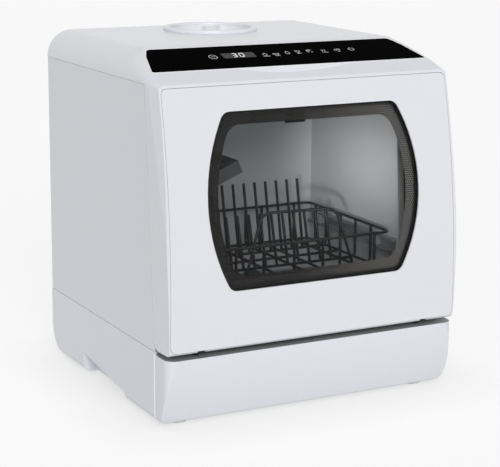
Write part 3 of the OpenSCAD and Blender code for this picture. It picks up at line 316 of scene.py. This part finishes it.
# The sill in the gap under the door takes the grey on its upward faces as painted shade of the
# recess.
for part in ("base_tray_soft", "base_fascia_soft"):
    mesh = bpy.data.objects[part].data
    mesh.materials.append(grey_pp_and_painted_shade)
    for polygon in mesh.polygons:
        in_gap = 88 * MM < polygon.center.z < 99 * MM and polygon.center.y < -120 * MM
        if in_gap and polygon.normal.z > 0.5:
            polygon.material_index = 1
print("soft-edged parts:", sum(len(row[2].split()) for row in SOFT))

# %% [markdown]
# ## Parts that stay as they are
# Sealed or hidden parts keep their CAD mesh and get the finish of their real material.

# %% Finishes of the inner parts
INNER = [
    (window_tint, "window_glass"), (pane_tint, "inner_pane"),
    (pale_pp, "board_box basket_glides"),
    (dark_abs, "display_module wash_pump drain_pump fan_housing air_duct"),
    (seal_rubber, "door_seal pane_gasket lid_seal wash_hoses drain_hose supply_hose"),
    (zinc, "case_screws hinge_pins heater"),
    (solder_mask, "touch_board main_board"), (milky_pp, "water_tank"),
]
for finish, parts in INNER:
    for part in parts.split():
        inner = frame["nodes"][part]
        inner.data.materials.clear()
        inner.data.materials.append(finish)
print("inner parts:", sum(len(row[1].split()) for row in INNER))

# %% [markdown]
# ## Bent wire
# The basket is welded from straight lengths of wire with bent corners, dipped in nylon. A wire
# is a path with a round section, so it is drawn as a curve with a bevel: the path's corners are
# first cut back and replaced by short arcs, as a bending tool leaves them.

# %% Wire helper
def rounded_path(points, radius, closed=False, steps=4):
    """The points of a path whose corners are replaced by arcs."""
    points = [Vector(p) for p in points]
    last = len(points)
    made = []
    for i, corner in enumerate(points):
        if not closed and i in (0, last - 1):
            made.append(corner)
            continue
        before, after = points[i - 1] - corner, points[(i + 1) % last] - corner
        cut = min(radius, before.length * 0.45, after.length * 0.45)
        a, b = corner + before.normalized() * cut, corner + after.normalized() * cut
        made += [a.lerp(corner, t).lerp(corner.lerp(b, t), t) for t in
                 (k / steps for k in range(steps + 1))]
    return made


def strokes(name, paths, radius_mm, sides=2):
    """One mesh of round strokes; each path is (points in mm, closed)."""
    curve = bpy.data.curves.new(name, "CURVE")
    curve.dimensions, curve.bevel_depth, curve.bevel_resolution = "3D", radius_mm * MM, sides
    curve.use_fill_caps = True
    for points, closed in paths:
        spline = curve.splines.new("POLY")
        spline.points.add(len(points) - 1)
        for point, place_mm in zip(spline.points, points):
            point.co = (*(Vector(place_mm) * MM), 1)
        spline.use_cyclic_u = closed
    holder = bpy.data.objects.new(name, curve)
    bpy.context.scene.collection.objects.link(holder)
    bpy.context.view_layer.update()
    mesh = bpy.data.meshes.new_from_object(holder.evaluated_get(
        bpy.context.evaluated_depsgraph_get()))
    bpy.data.objects.remove(holder)
    for polygon in mesh.polygons:
        polygon.use_smooth = True
    return mesh


# %% [markdown]
# ## The basket
# A hoop at the floor and one at the rim, long and cross wires that turn up at their ends, a
# raised hoop in front, two rows of tines that lean back, and the hoop on the left that the cup
# shelf turns on.

# %% Basket
BASKET_X, BASKET_FRONT, BASKET_BACK = 146, -133, 86
FLOOR_Z, RIM_Z = 156, 209
LONG_WIRES = (-125, -85, -45, 0, 43, 69, 122)
CROSS_WIRES = (-85, -45, -5, 35, 65)
wires = []
for z in (FLOOR_Z, RIM_Z):
    hoop = [(-BASKET_X, BASKET_FRONT, z), (BASKET_X, BASKET_FRONT, z), (BASKET_X, BASKET_BACK, z),
            (-BASKET_X, BASKET_BACK, z)]
    wires.append((rounded_path(hoop, 12, True), True))
for x in LONG_WIRES:
    wires.append((rounded_path([(x, BASKET_FRONT, RIM_Z), (x, BASKET_FRONT, FLOOR_Z),
                                (x, BASKET_BACK, FLOOR_Z), (x, BASKET_BACK, RIM_Z)], 8), False))
for y in CROSS_WIRES:
    wires.append((rounded_path([(-BASKET_X, y, RIM_Z), (-BASKET_X, y, FLOOR_Z),
                                (BASKET_X, y, FLOOR_Z), (BASKET_X, y, RIM_Z)], 8), False))
wires.append((rounded_path([(-74, BASKET_FRONT, FLOOR_Z), (-48, BASKET_FRONT, RIM_Z + 43),
                            (61, BASKET_FRONT, RIM_Z + 40), (94, BASKET_FRONT, FLOOR_Z)], 14),
              False))
TINE_PITCH, TINES_X = 17, -62
for foot_y, top_y, top_z in ((35, 47, RIM_Z + 45), (-45, -33, RIM_Z + 19)):
    for i in range(11):
        foot_x = TINES_X + TINE_PITCH * i
        wires.append(([(foot_x, foot_y, FLOOR_Z), (foot_x - 4, top_y, top_z)], False))
SHELF_WIRE_Z = RIM_Z + 80
raised = [(-BASKET_X + 4, -90, FLOOR_Z), (-BASKET_X + 4, -90, RIM_Z + 8),
          (-BASKET_X, -90, SHELF_WIRE_Z), (-BASKET_X, 50, SHELF_WIRE_Z),
          (-BASKET_X + 4, 50, RIM_Z + 8), (-BASKET_X + 4, 50, FLOOR_Z)]
wires.append((rounded_path(raised, 6), False))
basket = place("basket_wires", strokes("basket_wires", wires, 2.0), "basket", "coated_wire",
               nylon_dip, "basket_floor", "basket_rim", "plate_tines", "cup_rail")
print("basket:", len(wires), "wires,", len(basket.data.polygons), "faces")

# %% [markdown]
# ## Symbols on the control strip
# Touch symbols are printed behind the strip and lit from below, so they are thin, crisp and
# pale. Each is drawn as strokes in the strip's own plane, pressed nearly flat, and then carried
# to the slope by one matrix. They are generic pictures: a circle, small bowls and drops, and
# the usual sign for on and off.

# %% Lit print
SLOPE = Matrix.Translation(Vector((0, -56.136, 462)) * MM) @ Matrix.Rotation(
    math.radians(18), 4, "X")
PRINT_UP = 0.06


def lit(name, hex_code, strength):
    made, tree = new_material(name)
    place_on = node(tree, "TexCoord").outputs["Object"]
    dots = node(tree, "TexNoise", {"Vector": place_on, "Scale": 1 / (1.5 * MM), "Detail": 1})
    level_of = node(tree, "MapRange", {"Value": dots.outputs[0], "To Min": strength * 0.85,
                                       "To Max": strength * 1.15})
    skin = node(tree, "BsdfPrincipled", {"Base Color": paint(hex_code), "Roughness": 0.4,
                                         "Emission Color": paint(hex_code),
                                         "Emission Strength": level_of.outputs[0]})
    node(tree, "OutputMaterial", {"Surface": skin.outputs[0]})
    return made


# Translucent white ink, lit from behind by small lamps.
lit_ink = lit("ink_printed_lit", "#D8DBDD", 0.25)
# The digits: brighter, a clean cold white.
lit_digits = lit("diffuser_lit_digits", "#F4F6F8", 0.7)
# The window of the display: the black print thins out to a smoked grey.
smoked = coated("acrylic_smoked", "#1A1B1C", 0.25, 15, 0.002, Specular_IOR_Level=0.1)


def arc(cx, cy, r, start, end, steps=12):
    """Points of an arc in the plane of the strip, in mm and degrees."""
    return [(cx + r * math.cos(math.radians(start + (end - start) * k / steps)),
             cy + r * math.sin(math.radians(start + (end - start) * k / steps)), 0)
            for k in range(steps + 1)]


def line(*points):
    return [(x, y, 0) for x, y in points]


def print_on_strip(name, paths, x, u, finish, radius_mm=0.36, scale=1.0):
    """Carries flat strokes to the strip, x across and u down its slope."""
    mesh = strokes(name, [([Vector(q) * scale for q in p], False) for p in paths], radius_mm, 1)
    mesh.transform(Matrix.Diagonal((1, 1, 0.12, 1)))
    mesh.transform(SLOPE @ Matrix.Translation(Vector((x, -u, PRINT_UP)) * MM))
    return place(name, mesh, "casing", "control_glass", finish)


# %% Edge round the strip
# White bead round the strip on the cover's rolled edge; its pure white is a painted highlight.
white_highlight_abs = coated("abs_white_painted_highlight", "#FFFFFF", 0.3, 9, 0.002)
bm = bmesh.new()
bm.from_mesh(frame["nodes"]["control_panel"].data)
bmesh.ops.remove_doubles(bm, verts=bm.verts, dist=0.00001)
bmesh.ops.dissolve_limit(bm, angle_limit=math.radians(0.2), verts=bm.verts, edges=bm.edges)
up = SLOPE.to_3x3() @ Vector((0, 0, 1))
flat = max((face for face in bm.faces if face.normal.dot(up) > 0.99),
           key=lambda face: face.calc_area())
outline = [loop.vert.co / MM + up * 0.1 for loop in flat.loops]
bm.free()
place("strip_edge", strokes("strip_edge", [(outline, True)], 0.42, 1), "casing",
      "moulded_cover", white_highlight_abs)
print("strip edge:", len(outline), "points")

# %% Touch symbols
SYMBOLS = {
    "mark_start": (-98.7, 39.5, [arc(0, 0, 4.6, 0, 360, 24), line((-2.6, 0), (2.6, 0))]),
    "mark_fruit": (-25, 40.1, [arc(-0.4, -0.6, 2.6, 200, 520), line((-0.4, 2), (0.8, 3.4)),
                               line((-4, -4.6), (4.4, -4.6))]),
    "mark_bowl": (-9.1, 40.3, [arc(0, 1.2, 3.4, 180, 360), line((-4, 1.2), (4, 1.2)),
                               line((-2.4, -3.8), (3.4, -3.8))]),
    "mark_drop": (8.5, 37.5, [arc(0, -1, 2.4, 140, 400), line((-1.8, 0.6), (0, 3.6), (1.8, 0.6))]),
    "mark_glass": (24.6, 37.7, [line((-2.8, 3.4), (-2, 0), (2, 0), (2.8, 3.4), (-2.8, 3.4)),
                                line((0, 0), (0, -3)), line((-2.6, -3.4), (3, -3.4))]),
    "mark_wave": (41.6, 36.4, [arc(0, 0, 3.2, 20, 250), arc(0, 0, 1.5, 20, 250),
                               line((1, -3), (3.4, -3))]),
    "mark_steam": (62.8, 38.8, [line((-2.4, 3.4), (-1.2, 1.2), (-2.4, -1)),
                                line((0.6, 3.4), (1.8, 1.2), (0.6, -1)),
                                line((-3.4, -3.2), (4, -3.2))]),
    "mark_air": (83, 37.8, [arc(-1.6, 0.6, 1.7, 30, 300), arc(1.9, 1.2, 1.7, -120, 180),
                            line((-1, -3.2), (3, -3.2))]),
    "mark_power": (104.9, 37, [arc(0, 0, 3.3, 125, 415), line((0, 1), (0, 4.3))]),
}
for name, (x, u, paths) in SYMBOLS.items():
    print_on_strip(name, paths, x, u, lit_ink, scale=1.2)
print("symbols:", len(SYMBOLS))

# %% [markdown]
# ## The display
# A smoked window with two seven-bar digits behind it. The bars lean a little, as they do on
# most displays. The digits show a plain number of minutes.

# %% Display window and digits
DISPLAY_X, DISPLAY_U, DISPLAY_W, DISPLAY_D = -62, 38.2, 46, 15
bm = bmesh.new()
bmesh.ops.create_grid(bm, x_segments=1, y_segments=1, size=0.5)
bmesh.ops.scale(bm, vec=(DISPLAY_W * MM, DISPLAY_D * MM, 1), verts=bm.verts)
bmesh.ops.bevel(bm, geom=bm.verts, offset=1.6 * MM, segments=4, profile=0.5, affect="VERTICES",
                material=-1)
bmesh.ops.solidify(bm, geom=bm.faces, thickness=-0.03 * MM)
mesh = bpy.data.meshes.new("display_window")
bm.to_mesh(mesh)
bm.free()
mesh.transform(SLOPE @ Matrix.Translation(Vector((DISPLAY_X, -DISPLAY_U, 0.02)) * MM))
place("display_window", mesh, "casing", "control_glass", smoked)

BARS = {"a": ((-1, 2), (1, 2)), "b": ((1, 2), (1, 0)), "c": ((1, 0), (1, -2)),
        "d": ((-1, -2), (1, -2)), "e": ((-1, 0), (-1, -2)), "f": ((-1, 2), (-1, 0)),
        "g": ((-1, 0), (1, 0))}
DIGITS = {"3": "abcdg", "0": "abcdef"}
BAR_X, BAR_Y, LEAN = 2.6, 2.55, 0.10
bars = []
for place_x, digit in ((-5.1, "3"), (5.1, "0")):
    for bar in DIGITS[digit]:
        (x0, y0), (x1, y1) = BARS[bar]
        ends = [Vector((x * BAR_X, y * BAR_Y, 0)) for x, y in ((x0, y0), (x1, y1))]
        inset = (ends[1] - ends[0]).normalized() * 0.55
        bars.append([(place_x + e.x + e.y * LEAN, e.y, 0)
                     for e in (ends[0] + inset, ends[1] - inset)])
print_on_strip("display_digits", bars, -62.5, 37.6, lit_digits, 0.5)
print("digits: 30, bars:", len(bars))

# %% [markdown]
# ## Printed band on the window
# Oven and dishwasher windows carry a ceramic print round their edge. It hides the glue and the
# frame, and near the clear glass it is pierced by fine dots. The band is a thin ring just
# behind the glass, curved as the glass is; the dots are holes in the print, so they belong to
# its material.

# %% Window outline
WINDOW_W, WINDOW_H, WINDOW_Z, SIDE_R, CORNER_R = 305, 220, 282, 220, 14
CLEAR_CORNER_R = 22
BELLY_R, BELLY_Y, BELLY_Z = 1130, -197 + 1130, 151
GLASS_BACK = 2.6 + 3.2


def barrel(grow):
    """Points (x, z) of the window's outline, grown by some mm, right side up."""
    side_x, r = WINDOW_W / 2 - SIDE_R, SIDE_R + grow
    half_h, c = WINDOW_H / 2 + grow, CORNER_R + grow if grow > -4 else CLEAR_CORNER_R
    a = math.asin((half_h - c) / (r - c))
    corner_x = side_x + (r - c) * math.cos(a)
    turn = [(corner_x, -half_h + c, c, -math.pi / 2, -a, 8), (side_x, 0, r, -a, a, 24),
            (corner_x, half_h - c, c, a, math.pi / 2, 8)]
    half = [(cx + rad * math.cos(s + (e - s) * k / n), cz + rad * math.sin(s + (e - s) * k / n))
            for cx, cz, rad, s, e, n in turn for k in range(n + 1)]
    return [(x, z + WINDOW_Z) for x, z in half] + \
        [(-x, z + WINDOW_Z) for x, z in reversed(half)]


def belly(z, depth):
    """y of the bellied front at height z, some mm behind its surface."""
    return BELLY_Y - math.sqrt((BELLY_R - depth) ** 2 - (z - BELLY_Z) ** 2)


# %% Printed band
# The three outer rings of the mesh are solid print; the three inner ones are pierced.
BAND_MM, SOLID_MM, SOLID_RINGS = 17, 3.5, 3
bm = bmesh.new()
rings = []
for grow in (6, 0, -SOLID_MM, -8, -12, -BAND_MM):
    ring = [bm.verts.new(Vector((x, belly(z, GLASS_BACK + 0.08), z)) * MM)
            for x, z in barrel(grow)]
    rings.append([bm.edges.new((ring[i - 1], ring[i])) for i in range(len(ring))])
for outer, inner_ring in zip(rings, rings[1:]):
    bmesh.ops.bridge_loops(bm, edges=outer + inner_ring)
bmesh.ops.recalc_face_normals(bm, faces=bm.faces)
for face in bm.faces:
    face.smooth = True
mesh = bpy.data.meshes.new("window_print")
bm.to_mesh(mesh)
bm.free()

frit, tree = new_material("ceramic_print_pierced")
# Fired enamel: brown-black and satin; round dots 3.2 mm apart in staggered rows.
DOT_PITCH, DOT_R = 3.2, 1.36
position = node(tree, "TexCoord").outputs["Object"]
axes = node(tree, "SeparateXYZ", {0: position})
row = node(tree, "Math", {0: axes.outputs["Z"], 1: 1 / (DOT_PITCH * 0.866 * MM)},
           operation="MULTIPLY").outputs[0]
row_no = node(tree, "Math", {0: row}, operation="FLOOR").outputs[0]
shift = node(tree, "Math", {0: row_no, 1: 0.5}, operation="MULTIPLY").outputs[0]
column = node(tree, "Math", {0: axes.outputs["X"], 1: 1 / (DOT_PITCH * MM), 2: shift},
              operation="MULTIPLY_ADD").outputs[0]
across = node(tree, "Math", {0: node(tree, "Math", {0: column}, operation="FRACT").outputs[0],
                             1: 0.5}, operation="SUBTRACT").outputs[0]
up_cell = node(tree, "Math", {0: node(tree, "Math", {0: row}, operation="FRACT").outputs[0],
                              1: 0.5}, operation="SUBTRACT").outputs[0]
up_true = node(tree, "Math", {0: up_cell, 1: 0.866}, operation="MULTIPLY").outputs[0]
offset = node(tree, "CombineXYZ", {0: across, 1: up_true})
away = node(tree, "VectorMath", {0: offset.outputs[0]}, operation="LENGTH").outputs["Value"]
ink = node(tree, "MapRange", {"Value": away, "From Min": DOT_R / DOT_PITCH - 0.04,
                              "From Max": DOT_R / DOT_PITCH + 0.04,
                              "To Min": 1, "To Max": 0}).outputs[0]
solid = node(tree, "Attribute", attribute_name="solid").outputs["Fac"]
cover = node(tree, "Math", {0: ink, 1: solid}, operation="MAXIMUM").outputs[0]
mottle = node(tree, "TexNoise", {"Vector": position, "Scale": 1 / (8 * MM), "Detail": 2})
# Painted gaps between the dots: painted light of the chamber on the right, painted shade on the
# left.
side = node(tree, "MapRange", {"Value": axes.outputs["X"], "From Min": -30 * MM,
                               "From Max": 150 * MM})
gap = node(tree, "MixRGB", {"Fac": side.outputs[0], "Color1": paint("#2C2825"),
                            "Color2": paint("#C4C2BE")})
tone = node(tree, "MixRGB", {"Fac": cover, "Color1": gap.outputs[0], "Color2": paint("#0E0B0A")})
sheet = node(tree, "MapRange", {"Value": cover, "To Min": 0.6, "To Max": 1})
worn = node(tree, "MapRange", {"Value": mottle.outputs[0], "To Min": 0.4, "To Max": 0.5})
skin = node(tree, "BsdfPrincipled", {"Base Color": tone.outputs[0], "Alpha": sheet.outputs[0],
                                     "Roughness": worn.outputs[0], "Specular IOR Level": 0.3})
node(tree, "OutputMaterial", {"Surface": skin.outputs[0]})
place("window_print", mesh, "door", "door_glass", frit)
solid_of = mesh.attributes.new("solid", "FLOAT", "POINT")
in_ring = len(mesh.vertices) // len(rings)
for k, point in enumerate(solid_of.data):
    point.value = 1 if k // in_ring < SOLID_RINGS else 0
print("printed band:", len(mesh.polygons), "faces, dots every", DOT_PITCH, "mm")

# %% [markdown]
# ## Light for the chamber only
# The narrow lamp must not brighten the white front round the window, so it is linked to the
# pieces inside.

# %% Receivers of the narrow lamp
lit_inside = bpy.data.collections.new("lit_inside")
for name in ("tub_soft", "rack_rails_soft", "spray_arm_soft", "cup_shelf_soft", "basket_wires"):
    lit_inside.objects.link(bpy.data.objects[name])
inside.light_linking.receiver_collection = lit_inside
